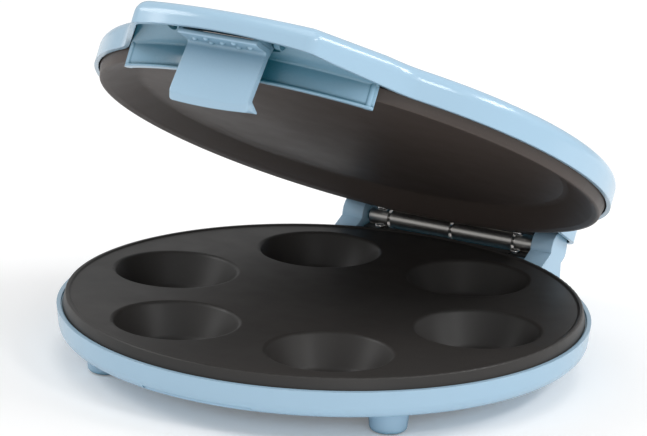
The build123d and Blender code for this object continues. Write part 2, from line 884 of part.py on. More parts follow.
def make_liner_screws():
    """Two screws up through the liner into the posts of the lid."""
    screws = []
    for side in (-1, 1):
        x, y = side * liner_screw_offset, -(plate_radius + liner_screw_reach)
        seat = liner_ceiling(y, x) + 0.75
        head = turned((0, seat - 1.6, 0), (2.1, seat - 1.6, 0), (2.6, seat, 0), (0, seat, 0))
        shank = upright(1.2, seat - 0.5, seat + liner_screw_grip)
        screws.append(Pos(x, y, 0) * (head + shank))
    return Compound([s.solid() for s in screws])


# Latch

def hook_point():
    """Inner foot of the hooked flap, just clear of the catch ledge."""
    reach = ledge_radius() + hook_clearance + hook_inset
    return -reach, ledge_height - hook_clearance


def hooked_latch():
    """Latch in its hooked place: pad, flap, hook and side cheeks."""
    foot_y, foot_z = hook_point()
    lean = math.tan(math.radians(latch_lean))
    wall = latch_wall / math.cos(math.radians(latch_lean))
    swing = math.radians(latch_swing)

    def pad_corner(reach, drop):
        """Corner of the level pad, carried back to the hooked place."""
        y, z = -reach, -drop
        return (latch_y + y * math.cos(swing) - z * math.sin(swing),
                latch_z + y * math.sin(swing) + z * math.cos(swing))

    knee_z = latch_z - pad_drop + latch_wall
    knee_y = foot_y - (knee_z - foot_z) * lean
    outer_foot = (foot_y - wall, foot_z - hook_height * 0.6)
    toe = pad_corner(pad_reach, pad_drop)
    toe_top = pad_corner(pad_reach, pad_drop - latch_wall)
    heel_top = pad_corner(0.5, pad_drop - latch_wall)
    heel = pad_corner(3.4, pad_drop)
    face = make_face(Polyline(
        (foot_y, foot_z),
        (foot_y + hook_inset - hook_clearance, foot_z),
        (foot_y + hook_inset - hook_clearance, foot_z - 0.8),
        (foot_y + 0.5, foot_z - hook_height),
        outer_foot,
        heel,
        toe,
        toe_top,
        heel_top,
        (knee_y, knee_z - 2),
        close=True,
    ))
    plate = profile_along_x(face, -latch_half_width, latch_half_width)
    cheek_face = make_face(Polyline(
        toe_top, heel_top, (knee_y, knee_z - 2), (latch_y + 3.4, latch_z),
        (latch_y - 3.4, latch_z + 1), pad_corner(pad_reach - 1, pad_drop - latch_wall - 3.2),
        close=True,
    ))
    body = plate
    for side in (-1, 1):
        inner, outer = sorted((side * (latch_half_width - 2.2), side * latch_half_width))
        body += profile_along_x(cheek_face, inner, outer)
        body += bar_along_x(3.6, inner, outer, latch_y, latch_z)
    for place in bump_places():
        y, z = pad_corner(place[1], pad_drop - 0.55)
        body += Pos(place[0], y, z) * Sphere(bump_radius)
    body -= bar_along_x(latch_pin_radius + pin_clearance, -50, 50, latch_y, latch_z)
    return body


def bump_places():
    """Finger bumps in rows of two, three and two."""
    middle = pad_reach - 6.2
    rows = ((2, middle + bump_row_pitch), (3, middle), (2, middle - bump_row_pitch))
    places = []
    for count, reach in rows:
        for i in range(count):
            places.append(((i - (count - 1) / 2) * bump_pitch, reach))
    return places


def make_latch():
    """Latch swung out to where it stands with the lid open."""
    return hooked_latch().rotate(latch_axis, latch_swing)


def make_latch_pin():
    """Pin that the latch turns on."""
    half = ear_outer() - 0.2
    return bar_along_x(latch_pin_radius, -half, half, latch_y, latch_z)


# Parts inside the lid

def make_upper_plate():
    """Cast plate with a shallow pan, turned face down in the lid."""
    lip_inner = plate_radius - pan_lip_width
    pan_radius = lip_inner - pan_slope_width
    band_top = lid_rim + band_height
    roof = lid_rim + pan_depth
    plate = turned(
        (0, roof, 0),
        (pan_radius, roof, 8),
        (lip_inner, lid_rim + bead_height, 2),
        (plate_radius - 1.6, lid_rim, 0.6),
        (plate_radius, lid_rim, 0.9),
        (band_radius, band_top, 0),
        (band_radius - plate_wall, band_top, 0),
        (plate_radius - plate_wall, lid_rim + bead_height + plate_wall, 1),
        (lip_inner, lid_rim + bead_height + plate_wall, 2),
        (pan_radius, roof + plate_wall, 8),
        (0, roof + plate_wall, 0),
    )
    for x, y in boss_places():
        plate += upright(boss_radius, roof + plate_wall - 0.5, upper_shield_height() - 0.1, x, y)
        hole_start = upper_shield_height() - screw_grip + 2
        plate -= upright(screw_radius + screw_clearance, hole_start, upper_shield_height() + 1, x, y)
    return plate


def upper_shield_height():
    """Underside of the upper heat shield, over the heating ring."""
    ring_top = lid_rim + pan_depth + plate_wall + seat_gap + 2 * element_radius
    return ring_top + 0.4


def make_upper_element():
    """Ring over the upper plate, its legs towards the hinge."""
    height = lid_rim + pan_depth + plate_wall + seat_gap + element_radius
    return element(element_upper_ring, height, 90)


def make_upper_shield():
    """Pressed cover over the upper element, held by the plate's bosses."""
    low = upper_shield_height()
    rim = cover_radius + cover_rim_run
    rim_low = low - cover_rim_drop
    shield = turned(
        (0, low, 0),
        (cover_radius, low, 2),
        (rim, rim_low, 0),
        (rim, rim_low + shield_wall, 0),
        (cover_radius, low + shield_wall, 2),
        (0, low + shield_wall, 0),
    )
    for x, y in boss_places():
        shield -= upright(screw_radius + 0.3, 0, lid_rim + 60, x, y)
    legs = element_leg_spacing / 2 + element_radius + 2
    return shield - block(-legs, legs, cover_radius - 3, rim + 5, 0, lid_rim + 60)


def make_upper_screws():
    """Three screws that hold the upper shield to the plate's bosses."""
    seat = upper_shield_height() + shield_wall + 0.02
    screws = []
    for x, y in boss_places():
        screws.append(Pos(x, y, seat) * pan_head_screw(screw_grip - 3, True))
    return Compound([s.solid() for s in screws])


def make_lenses():
    """Two domed pilot lenses: power and ready."""
    lenses = []
    for side in (-1, 1):
        x, y, z = lens_place(side)
        low = z - shell_wall - 0.8
        lens = turned(
            (0, low, 0), (lens_radius, low, 0), (lens_radius, z + 1.5, 1.3), (0, z + 1.5, 0),
        )
        lenses.append(Pos(x, y, 0) * lens)
    return lenses


def make_lamps():
    """Two neon lamps in a bracket under the lenses."""
    x, y, z = lens_place(1)
    top = z - shell_wall - 1.1
    low = lid_rim + lid_edge_height
    plate = block(-lens_offset - 4, lens_offset + 4, y - 3, y + 3, top - 5.4, top - 4)
    lamps = plate
    for side in (-1, 1):
        lamps += turned(
            (0, top - 4.5, 0), (lamp_radius, top - 4.5, 0), (lamp_radius, top, 1), (0, top, 0),
        ).moved(Pos(side * lens_offset, y, 0))
    return lamps


def main():
    """Build every node and write it to its own file."""
    os.makedirs("parts", exist_ok=True)
    fixed = {
        "base_shell": make_base_shell(),
        "lower_plate": make_lower_plate(),
        "lower_heating_element": make_lower_element(),
        "lower_heat_shield": make_lower_shield(),
        "thermostat": make_thermostat(),
        "thermal_fuse": make_thermal_fuse(),
        "terminal_block": make_terminal_block(),
        "cord_gland": make_cord_gland(),
        "feet": make_feet(),
        "foot_pads": make_foot_pads(),
        "foot_screws": make_foot_screws(),
        "base_screws": make_base_screws(),
        "hinge_lower_leaf": make_lower_leaf(),
        "lower_leaf_screws": make_lower_leaf_screws(),
        "hinge_pin": make_hinge_pin(),
    }
    power_lens, ready_lens = make_lenses()
    moving = {
        "lid_shell": make_lid_shell(),
        "lid_top_panel": make_top_panel(),
        "upper_plate": make_upper_plate(),
        "upper_heating_element": make_upper_element(),
        "upper_heat_shield": make_upper_shield(),
        "upper_plate_screws": make_upper_screws(),
        "handle_liner": make_handle_liner(),
        "handle_liner_screws": make_liner_screws(),
        "hinge_upper_leaf": make_upper_leaf(),
        "upper_leaf_screws": make_upper_leaf_screws(),
        "power_lens": power_lens,
        "ready_lens": ready_lens,
        "pilot_lamps": make_lamps(),
        "latch_pin": make_latch_pin(),
        "latch": make_latch(),
    }
    for name, shape in fixed.items():
        save(shape, name)
    for name, shape in moving.items():
        save(opened(shape), name)


main()
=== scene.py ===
"""Looks of the six-well cupcake maker: finishes, fine detail, studio and camera."""

import json
import logging
import math
from dataclasses import dataclass, field
from enum import Enum

import bmesh
import bpy
from mathutils import Matrix, Vector

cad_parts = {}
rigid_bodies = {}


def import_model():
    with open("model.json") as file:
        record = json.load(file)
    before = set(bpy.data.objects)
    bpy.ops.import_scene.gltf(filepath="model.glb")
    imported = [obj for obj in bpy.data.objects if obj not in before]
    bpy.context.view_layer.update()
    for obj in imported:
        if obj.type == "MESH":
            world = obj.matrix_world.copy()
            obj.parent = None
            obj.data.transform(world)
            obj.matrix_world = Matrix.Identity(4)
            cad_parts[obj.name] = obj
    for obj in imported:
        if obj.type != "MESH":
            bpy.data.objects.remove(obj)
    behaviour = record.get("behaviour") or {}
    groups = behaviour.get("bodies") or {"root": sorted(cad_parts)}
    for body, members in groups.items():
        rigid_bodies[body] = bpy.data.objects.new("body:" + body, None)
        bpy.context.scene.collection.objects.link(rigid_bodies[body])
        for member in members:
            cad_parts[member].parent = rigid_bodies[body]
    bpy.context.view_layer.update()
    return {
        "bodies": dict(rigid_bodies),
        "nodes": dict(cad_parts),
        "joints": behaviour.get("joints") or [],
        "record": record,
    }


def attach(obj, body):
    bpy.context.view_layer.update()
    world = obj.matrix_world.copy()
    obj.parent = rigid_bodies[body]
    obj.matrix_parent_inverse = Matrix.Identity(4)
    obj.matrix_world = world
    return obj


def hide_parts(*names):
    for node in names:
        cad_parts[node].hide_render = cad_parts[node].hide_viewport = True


LOG = logging.getLogger("cupcake_maker")
MM = 0.001

Colour = tuple[float, float, float]
Place = tuple[float, float, float]
Span = tuple[float, float]
Outline = list[tuple[float, float]]
Socket = bpy.types.NodeSocket
Tone = Colour | Socket

WHITE = (1.0, 1.0, 1.0, 1.0)
FULL: Span = (0.0, 1.0)


class Body(Enum):
    """Bodies of the appliance that move against one another."""

    BASE = "base"
    LID = "lid"
    LATCH = "latch"


class HeadWay(Enum):
    """Which way a screw's head points when the lid is closed."""

    UP = 1
    DOWN = -1


# Finishes. Cells are counted per metre, and reach, edge and depth are in metres.


class NodeSheet:
    """Small helper that lays out the nodes of one material."""

    painted_shade_samples: int = 6
    edge_samples: int = 4
    patch_span: Span = (0.3, 0.7)

    def __init__(self, name: str) -> None:
        """Start an empty node material.

        Args:
            name: Name of the material.
        """
        self.material = bpy.data.materials.new(name)
        self.material.use_nodes = True
        self.nodes = self.material.node_tree.nodes
        self.links = self.material.node_tree.links
        self.nodes.clear()
        self.output = self.nodes.new("ShaderNodeOutputMaterial")
        self.shader = self.nodes.new("ShaderNodeBsdfPrincipled")
        self.links.new(self.shader.outputs[0], self.output.inputs["Surface"])

    def feed(self, name: str, source: Socket) -> None:
        """Drive one input of the shader with a socket."""
        self.links.new(source, self.shader.inputs[name])

    def hold(self, name: str, value: float | tuple[float, ...]) -> None:
        """Keep one input of the shader at a value."""
        self.shader.inputs[name].default_value = value

    def place(self) -> Socket:
        """Object coordinates, which stay with the piece as it moves."""
        return self.nodes.new("ShaderNodeTexCoord").outputs["Object"]

    def noise(self, cells: float, detail: float, rough: float = 0.55) -> Socket:
        """Soft noise over the piece.

        Args:
            cells: Noise cells per metre.
            detail: Octaves.
            rough: Weight of the fine octaves.

        Returns:
            The value socket.
        """
        node = self.nodes.new("ShaderNodeTexNoise")
        node.inputs["Scale"].default_value = cells
        node.inputs["Detail"].default_value = detail
        node.inputs["Roughness"].default_value = rough
        self.links.new(self.place(), node.inputs["Vector"])
        return node.outputs["Fac"]

    def span(self, value: Socket, source: Span, target: Span = FULL) -> Socket:
        """Map a value from one range to another.

        Args:
            value: Socket to map.
            source: Lowest and highest input.
            target: Output at those inputs.

        Returns:
            The mapped value socket.
        """
        node = self.nodes.new("ShaderNodeMapRange")
        node.clamp = True
        self.links.new(value, node.inputs["Value"])
        node.inputs["From Min"].default_value = source[0]
        node.inputs["From Max"].default_value = source[1]
        node.inputs["To Min"].default_value = target[0]
        node.inputs["To Max"].default_value = target[1]
        return node.outputs["Result"]

    def blend(self, factor: Socket, low: Tone, high: Tone) -> Socket:
        """Colour between two colours.

        Args:
            factor: Socket from 0 to 1.
            low: Colour or colour socket at 0.
            high: Colour or colour socket at 1.

        Returns:
            The colour socket.
        """
        node = self.nodes.new("ShaderNodeMix")
        node.data_type = "RGBA"
        self.links.new(factor, node.inputs["Factor"])
        for name, tone in (("A", low), ("B", high)):
            if isinstance(tone, tuple):
                node.inputs[name].default_value = (*tone, 1.0)
            else:
                self.links.new(tone, node.inputs[name])
        return node.outputs["Result"]

    def clouded(self, cloud: Socket, colour: Colour, shares: Span) -> Socket:
        """One colour that turns a little lighter and darker over the piece.

        Args:
            cloud: Socket from 0 to 1.
            colour: The colour.
            shares: Factors on it at 0 and at 1.

        Returns:
            The colour socket.
        """
        dark, light = (scaled(colour, share) for share in shares)
        return self.blend(cloud, dark, light)

    def worn(self, cells: float, roughness: float, shares: Span, detail: float) -> None:
        """Let the roughness wander a little over the piece.

        Args:
            cells: Patches per metre.
            roughness: Roughness of the finish.
            shares: Factors on it in the smoothest and the roughest patch.
            detail: Octaves of the patches.
        """
        smooth, rough = (roughness * share for share in shares)
        patches = self.noise(cells, detail)
        self.feed("Roughness", self.span(patches, self.patch_span, (smooth, rough)))

    def openness(self, reach: float) -> Socket:
        """How open the surface is, for painted shade: 1 in the open and less in a corner.

        Args:
            reach: How far a corner's painted shade reaches, in metres.

        Returns:
            The value socket.
        """
        node = self.nodes.new("ShaderNodeAmbientOcclusion")
        node.samples = self.painted_shade_samples
        node.inputs["Distance"].default_value = reach
        return node.outputs["AO"]

    def vector_math(
        self, operation: str, first: Socket, second: Place | None = None
    ) -> bpy.types.Node:
        """Vector operation on a socket.

        Args:
            operation: Name of the operation.
            first: Vector socket.
            second: Fixed vector, where the operation takes two.

        Returns:
            The node.
        """
        node = self.nodes.new("ShaderNodeVectorMath")
        node.operation = operation
        self.links.new(first, node.inputs[0])
        if second is not None:
            node.inputs[1].default_value = second
        return node

    def radius(self) -> Socket:
        """Distance from the origin."""
        return self.vector_math("LENGTH", self.place()).outputs["Value"]

    def radius_about(self, y: float, z: float) -> Socket:
        """Distance from a line along X.

        Args:
            y: Place of the line, in metres.
            z: Height of the line, in metres.

        Returns:
            The value socket.
        """
        shift = self.vector_math("SUBTRACT", self.place(), (0.0, y, z))
        flat = self.vector_math("MULTIPLY", shift.outputs[0], (0.0, 1.0, 1.0))
        return self.vector_math("LENGTH", flat.outputs[0]).outputs["Value"]

    def bump(self, height: Socket, depth: float, strength: float, edge: float = 0.0) -> None:
        """Raise and sink the surface by a height socket and round its edges.

        Args:
            height: Socket from 0 to 1.
            depth: Depth in metres.
            strength: Share of the effect.
            edge: Radius of the softened edges, in metres.
        """
        node = self.nodes.new("ShaderNodeBump")
        node.inputs["Distance"].default_value = depth
        node.inputs["Strength"].default_value = strength
        self.links.new(height, node.inputs["Height"])
        if edge:
            soft = self.nodes.new("ShaderNodeBevel")
            soft.samples = self.edge_samples
            soft.inputs["Radius"].default_value = edge
            self.links.new(soft.outputs[0], node.inputs["Normal"])
            self.feed("Coat Normal", soft.outputs[0])
        self.feed("Normal", node.outputs[0])


def scaled(colour: Colour, share: float) -> Colour:
    """Lighter or darker copy of a colour."""
    return tuple(min(1.0, channel * share) for channel in colour)


@dataclass(frozen=True)
class MouldedPlastic:
    """Glossy moulded plastic with painted shade: its colour turns towards a shade colour where the
    surface shades itself.
    """

    name: str
    colour: Colour
    shade: Colour
    painted_shade_reach: float = 0.034
    painted_shade_span: Span = (0.12, 0.92)
    roughness: float = 0.2
    coat: float = 0.25
    coat_roughness: float = 0.08
    refraction: float = 1.46
    cloud_cells: float = 26.0
    cloud_shares: Span = (0.975, 1.025)
    wear_cells: float = 140.0
    wear_shares: Span = (0.85, 1.2)
    grain_cells: float = 900.0
    grain_depth: float = 0.00002
    grain_strength: float = 0.2
    edge: float = 0.0007

    def build(self) -> bpy.types.Material:
        """Make the material.

        Returns:
            The finished material.
        """
        sheet = NodeSheet(self.name)
        cloud = sheet.noise(self.cloud_cells, detail=3.0)
        tone = sheet.clouded(cloud, self.colour, self.cloud_shares)
        # painted shade: ambient occlusion blends the colour towards the shade colour in corners
        # and recesses
        unshaded_share = sheet.span(sheet.openness(self.painted_shade_reach), self.painted_shade_span)
        sheet.feed("Base Color", sheet.blend(unshaded_share, self.shade, tone))
        sheet.worn(self.wear_cells, self.roughness, self.wear_shares, detail=4.0)
        sheet.hold("Coat Weight", self.coat)
        sheet.hold("Coat Roughness", self.coat_roughness)
        sheet.hold("IOR", self.refraction)
        grain = sheet.noise(self.grain_cells, detail=2.0)
        sheet.bump(grain, self.grain_depth, self.grain_strength, self.edge)
        return sheet.material


@dataclass(frozen=True)
class NonStickCoat:
    """Sprayed non-stick coating: satin, faintly uneven, with sparse fine specks."""

    name: str
    colour: Colour
    warm: Colour
    speck: Colour
    roughness: float
    speck_from: float
    speck_width: float = 0.06
    gloss: float = 0.4
    cloud_cells: float = 9.0
    cloud_span: Span = (0.35, 0.65)
    wear_cells: float = 60.0
    wear_shares: Span = (0.94, 1.08)
    grain_cells: float = 1500.0
    grain_rough: float = 0.6
    grain_depth: float = 0.00004
    grain_strength: float = 0.25
    edge: float = 0.0004

    def build(self) -> bpy.types.Material:
        """Make the material.

        Returns:
            The finished material.
        """
        sheet = NodeSheet(self.name)
        grain = sheet.noise(self.grain_cells, detail=2.0, rough=self.grain_rough)
        cloud = sheet.span(sheet.noise(self.cloud_cells, detail=2.0), self.cloud_span)
        coat = sheet.blend(cloud, self.colour, self.warm)
        specks = sheet.span(grain, (self.speck_from, self.speck_from + self.speck_width))
        sheet.feed("Base Color", sheet.blend(specks, coat, self.speck))
        sheet.worn(self.wear_cells, self.roughness, self.wear_shares, detail=3.0)
        sheet.hold("Specular IOR Level", self.gloss)
        sheet.bump(grain, self.grain_depth, self.grain_strength, self.edge)
        return sheet.material


@dataclass(frozen=True)
class PlatedSteel:
    """Plated or bare steel, faintly clouded and finely grained."""

    name: str
    colour: Colour
    roughness: float
    cloud_cells: float = 220.0
    cloud_shares: Span = (0.8, 1.0)
    wear_cells: float = 900.0
    wear_shares: Span = (0.75, 1.3)
    grain_cells: float = 1600.0
    grain_depth: float = 0.00003
    grain_strength: float = 0.3
    edge: float = 0.0002

    def build(self) -> bpy.types.Material:
        """Make the material.

        Returns:
            The finished material.
        """
        sheet = NodeSheet(self.name)
        cloud = sheet.noise(self.cloud_cells, detail=4.0)
        sheet.feed("Base Color", sheet.clouded(cloud, self.colour, self.cloud_shares))
        sheet.worn(self.wear_cells, self.roughness, self.wear_shares, detail=3.0)
        sheet.hold("Metallic", 1.0)
        grain = sheet.noise(self.grain_cells, detail=3.0)
        sheet.bump(grain, self.grain_depth, self.grain_strength, self.edge)
        return sheet.material


@dataclass(frozen=True)
class BarrelSteel:
    """Dark plated leaf whose rolled knuckles are polished by wear.

    Each pair holds the barrel's value and the leaf's.
    """

    name: str
    leaf: Colour
    barrel: Colour
    hinge_line: Span = (0.128418, 0.03365)
    barrel_radius: float = 0.00485
    barrel_fade: float = 0.0002
    roughness: Span = (0.36, 0.42)
    metallic: Span = (1.0, 0.35)
    cloud_cells: float = 400.0
    leaf_shares: Span = (0.75, 1.0)
    barrel_shares: Span = (0.85, 1.0)
    grain_cells: float = 1600.0
    grain_depth: float = 0.00003
    grain_strength: float = 0.3

    def build(self) -> bpy.types.Material:
        """Make the material.

        Returns:
            The finished material.
        """
        sheet = NodeSheet(self.name)
        near = sheet.radius_about(*self.hinge_line)
        away = sheet.span(near, (self.barrel_radius, self.barrel_radius + self.barrel_fade))
        cloud = sheet.noise(self.cloud_cells, detail=4.0)
        leaf = sheet.clouded(cloud, self.leaf, self.leaf_shares)
        barrel = sheet.clouded(cloud, self.barrel, self.barrel_shares)
        sheet.feed("Base Color", sheet.blend(away, barrel, leaf))
        sheet.feed("Roughness", sheet.span(away, FULL, self.roughness))
        sheet.feed("Metallic", sheet.span(away, FULL, self.metallic))
        grain = sheet.noise(self.grain_cells, detail=3.0)
        sheet.bump(grain, self.grain_depth, self.grain_strength)
        return sheet.material


@dataclass(frozen=True)
class MattPiece:
    """Matt finish for rubber, sleeve and ceramic."""

    name: str
    colour: Colour
    roughness: float
    grain_cells: float = 800.0
    grain_depth: float = 0.00006
    grain_strength: float = 0.5
    cloud_shares: Span = (0.85, 1.0)
    edge: float = 0.0003

    def build(self) -> bpy.types.Material:
        """Make the material.

        Returns:
            The finished material.
        """
        sheet = NodeSheet(self.name)
        grain = sheet.noise(self.grain_cells, detail=4.0)
        sheet.feed("Base Color", sheet.clouded(grain, self.colour, self.cloud_shares))
        sheet.hold("Roughness", self.roughness)
        sheet.bump(grain, self.grain_depth, self.grain_strength, self.edge)
        return sheet.material


@dataclass(frozen=True)
class PilotLens:
    """Glossy tinted plastic over a lamp, with a faint prism pattern."""

    name: str
    colour: Colour
    roughness: float = 0.08
    coat: float = 0.6
    refraction: float = 1.49
    cloud_cells: float = 500.0
    cloud_shares: Span = (0.7, 1.0)
    prism_cells: float = 1400.0
    prism_depth: float = 0.00008
    prism_strength: float = 0.3

    def build(self) -> bpy.types.Material:
        """Make the material.

        Returns:
            The finished material.
        """
        sheet = NodeSheet(self.name)
        cloud = sheet.noise(self.cloud_cells, detail=2.0)
        sheet.feed("Base Color", sheet.clouded(cloud, self.colour, self.cloud_shares))
        sheet.hold("Roughness", self.roughness)
        sheet.hold("Coat Weight", self.coat)
        sheet.hold("IOR", self.refraction)
        prisms = sheet.noise(self.prism_cells, detail=1.0)
        sheet.bump(prisms, self.prism_depth, self.prism_strength)
        return sheet.material


FINISHES = (
    # the pale blue plastics carry painted shade: their colour darkens towards the shade colour in
    # corners and recesses
    MouldedPlastic("pale_blue_plastic", colour=(0.42, 0.62, 0.785), shade=(0.02, 0.13, 0.19)),
    # pocket under the handle: a darker copy of the pale blue plastic, with painted shade that
    # reaches further
    MouldedPlastic(
        "pale_blue_painted_shade_pocket", colour=(0.36, 0.57, 0.74), shade=(0.02, 0.15, 0.21),
        painted_shade_reach=0.05, painted_shade_span=(0.3, 1.0),
    ),
    # base shell and feet: painted shade kept to tight creases
    MouldedPlastic(
        "pale_blue_tray", colour=(0.42, 0.62, 0.785), shade=(0.12, 0.33, 0.45),
        painted_shade_reach=0.008, painted_shade_span=(0.0, 0.7),
    ),
    NonStickCoat(
        "lower_nonstick", colour=(0.033, 0.032, 0.031), warm=(0.040, 0.037, 0.035),
        speck=(0.09, 0.085, 0.08), roughness=0.44, speck_from=0.70,
    ),
    NonStickCoat(
        "upper_nonstick", colour=(0.070, 0.055, 0.048), warm=(0.082, 0.064, 0.056),
        speck=(0.17, 0.14, 0.125), roughness=0.48, speck_from=0.69,
    ),
    PlatedSteel("element_sheath", colour=(0.24, 0.22, 0.20), roughness=0.45),
    PlatedSteel("shield_steel", colour=(0.55, 0.55, 0.56), roughness=0.32),
    BarrelSteel("hinge_steel", leaf=(0.05, 0.048, 0.047), barrel=(0.82, 0.80, 0.77)),
    PlatedSteel("bright_steel", colour=(0.62, 0.61, 0.60), roughness=0.2),
    MattPiece("pad_rubber", colour=(0.03, 0.03, 0.03), roughness=0.75),
    PlatedSteel("thermostat_aluminium", colour=(0.6, 0.6, 0.6), roughness=0.35),
    MattPiece("fuse_sleeve", colour=(0.6, 0.58, 0.5), roughness=0.8, grain_cells=2500.0),
    MattPiece("terminal_ceramic", colour=(0.75, 0.73, 0.69), roughness=0.5),
    MattPiece("dark_rubber", colour=(0.035, 0.035, 0.035), roughness=0.6),
    PilotLens("red_lens", colour=(0.45, 0.02, 0.015)),
    PilotLens("green_lens", colour=(0.03, 0.32, 0.08)),
    MattPiece("lamp_body", colour=(0.7, 0.67, 0.6), roughness=0.5),
)


# Studio and camera, in metres, degrees and watts


@dataclass(frozen=True)
class SoftBox:
    """Rectangular lamp that faces the appliance."""

    name: str
    place: Place
    size: Span
    power: float
    aim_at: Place = (0.0, 0.0, 0.08)

    def build(self) -> None:
        """Hang the lamp."""
        lamp = bpy.data.lights.new(self.name, "AREA")
        lamp.shape = "RECTANGLE"
        lamp.size, lamp.size_y = self.size
        lamp.energy = self.power
        holder = bpy.data.objects.new(self.name, lamp)
        holder.location = self.place
        aim = Vector(self.aim_at) - Vector(self.place)
        holder.rotation_euler = aim.to_track_quat("-Z", "Y").to_euler()
        bpy.context.scene.collection.objects.link(holder)


SOFT_BOXES = (
    SoftBox("key_box", (-2.3, -0.8, 2.0), (1.2, 1.2), 24.0),
    SoftBox("fill_box", (1.9, -2.2, 1.0), (0.9, 1.2), 9.0),
    SoftBox("top_box", (0.3, 0.2, 3.0), (2.6, 2.0), 20.0),
    SoftBox("window_near", (1.75, -0.42, 1.62), (0.5, 0.34), 7.0),
    SoftBox("window_far", (1.55, 0.95, 1.45), (0.95, 0.36), 12.0),
)


@dataclass(frozen=True)
class Studio:
    """White room with soft boxes."""

    floor_half: float = 6.0
    floor_grey: float = 0.95
    floor_roughness: float = 0.85
    floor_gloss: float = 0.1
    floor_glow: float = 0.14
    floor_fade: Span = (0.8, 2.2)
    light_level: float = 0.48
    seen_level: float = 1.0

    def build(self) -> None:
        """Make the floor, the world and the lamps."""
        self.floor()
        self.world()
        for box in SOFT_BOXES:
            box.build()

    def floor(self) -> None:
        """Pale floor that reads white to the camera and keeps the shadow."""
        mesh = bpy.data.meshes.new("studio_floor")
        half = self.floor_half
        corners = [(-half, -half, 0.0), (half, -half, 0.0), (half, half, 0.0), (-half, half, 0.0)]
        mesh.from_pydata(corners, [], [(0, 1, 2, 3)])
        floor = bpy.data.objects.new("studio_floor", mesh)
        bpy.context.scene.collection.objects.link(floor)
        mesh.materials.append(self.floor_finish())

    def floor_finish(self) -> bpy.types.Material:
        """Finish of the floor, which glows to the camera away from the appliance.

        Returns:
            The finished material.
        """
        sheet = NodeSheet("studio_floor")
        sheet.hold("Roughness", self.floor_roughness)
        sheet.hold("Specular IOR Level", self.floor_gloss)
        sheet.hold("Base Color", (self.floor_grey, self.floor_grey, self.floor_grey, 1.0))
        sheet.hold("Emission Color", WHITE)
        seen = sheet.nodes.new("ShaderNodeLightPath").outputs["Is Camera Ray"]
        away = sheet.span(sheet.radius(), self.floor_fade, (self.floor_glow, 1.0))
        glow = sheet.nodes.new("ShaderNodeMath")
        glow.operation = "MULTIPLY"
        sheet.links.new(seen, glow.inputs[0])
        sheet.links.new(away, glow.inputs[1])
        sheet.feed("Emission Strength", glow.outputs[0])
        return sheet.material

    def world(self) -> None:
        """Even grey light that the camera sees as white."""
        world = bpy.data.worlds.new("studio_world")
        bpy.context.scene.world = world
        world.use_nodes = True
        nodes, links = world.node_tree.nodes, world.node_tree.links
        nodes.clear()
        output = nodes.new("ShaderNodeOutputWorld")
        mix = nodes.new("ShaderNodeMixShader")
        path = nodes.new("ShaderNodeLightPath")
        links.new(path.outputs["Is Camera Ray"], mix.inputs["Fac"])
        for slot, level in ((1, self.light_level), (2, self.seen_level)):
            light = nodes.new("ShaderNodeBackground")
            light.inputs["Color"].default_value = WHITE
            light.inputs["Strength"].default_value = level
            links.new(light.outputs[0], mix.inputs[slot])
        links.new(mix.outputs[0], output.inputs["Surface"])


@dataclass(frozen=True)
class PhotoCamera:
    """Camera that stands where the photograph was taken from.

    The shifts are in pixels of the picture, and the sensor's width in millimetres.
    """

    azimuth: float = 27.8
    elevation: float = 16.3
    roll: float = 2.3
    distance: float = 2.47
    pixels_per_metre: float = 1992.0
    shift_right: float = 1.0
    shift_down: float = 78.8
    target: Place = (0.0, -0.0146, 0.033)
    image_width: float = 647.0
    sensor_width: float = 36.0
    sight: float = 50.0

    def axes(self) -> tuple[Vector, Vector, Vector]:
        """Directions of the picture.

        Returns:
            To the right, up, and back from the appliance to the camera.
        """
        turn, tilt = math.radians(self.azimuth), math.radians(self.elevation)
        level = Vector((math.sin(turn), -math.cos(turn), 0.0)) * math.cos(tilt)
        back = level + Vector((0.0, 0.0, math.sin(tilt)))
        right = Vector((math.cos(turn), math.sin(turn), 0.0))
        up = back.cross(right)
        spin = math.radians(self.roll)
        right_rolled = right * math.cos(spin) + up * math.sin(spin)
        up_rolled = up * math.cos(spin) - right * math.sin(spin)
        return right_rolled, up_rolled, back

    def build(self) -> None:
        """Make the camera and set it as the scene's camera."""
        right, up, back = self.axes()
        place = Vector(self.target) + back * self.distance
        place -= right * self.shift_right / self.pixels_per_metre
        place += up * self.shift_down / self.pixels_per_metre
        data = bpy.data.cameras.new("photo_camera")
        data.sensor_width = self.sensor_width
        data.lens = self.pixels_per_metre * self.distance * self.sensor_width / self.image_width
        data.clip_end = self.sight
        camera = bpy.data.objects.new("photo_camera", data)
        turned = Matrix((right, up, back)).transposed().to_4x4()
        camera.matrix_world = Matrix.Translation(place) @ turned
        bpy.context.scene.collection.objects.link(camera)
        bpy.context.scene.camera = camera


# Shared workshop for the pieces


def joint_of(record: dict, name: str) -> dict:
    """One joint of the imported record."""
    return next(joint for joint in record["behaviour"]["joints"] if joint["name"] == name)


@dataclass(frozen=True)
class LidSetting:
    """Hinge line and angle at which the lid stands open."""

    hinge: Vector
    angle: float

    @classmethod
    def from_record(cls, record: dict) -> "LidSetting":
        """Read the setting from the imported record."""
        joint = joint_of(record, "lid_hinge")
        return cls(Vector(joint["pos_m"]), -math.radians(joint["range_deg"][0]))

    def opened(self) -> Matrix:
        """Turn from the closed lid to the open one."""
        turn = Matrix.Rotation(-self.angle, 4, "X")
        return Matrix.Translation(self.hinge) @ turn @ Matrix.Translation(-self.hinge)


def loose_groups(shape: bmesh.types.BMesh) -> list[list[Vector]]:
    """Corners of a mesh, grouped by the solid that they belong to.

    Args:
        shape: Mesh of one or more separate solids.

    Returns:
        The corners of each solid.
    """
    groups = []
    left = set(shape.verts)
    while left:
        stack, group = [left.pop()], []
        while stack:
            vert = stack.pop()
            group.append(vert.co.copy())
            for edge in vert.link_edges:
                other = edge.other_vert(vert)
                if other in left:
                    left.discard(other)
                    stack.append(other)
        groups.append(group)
    return groups


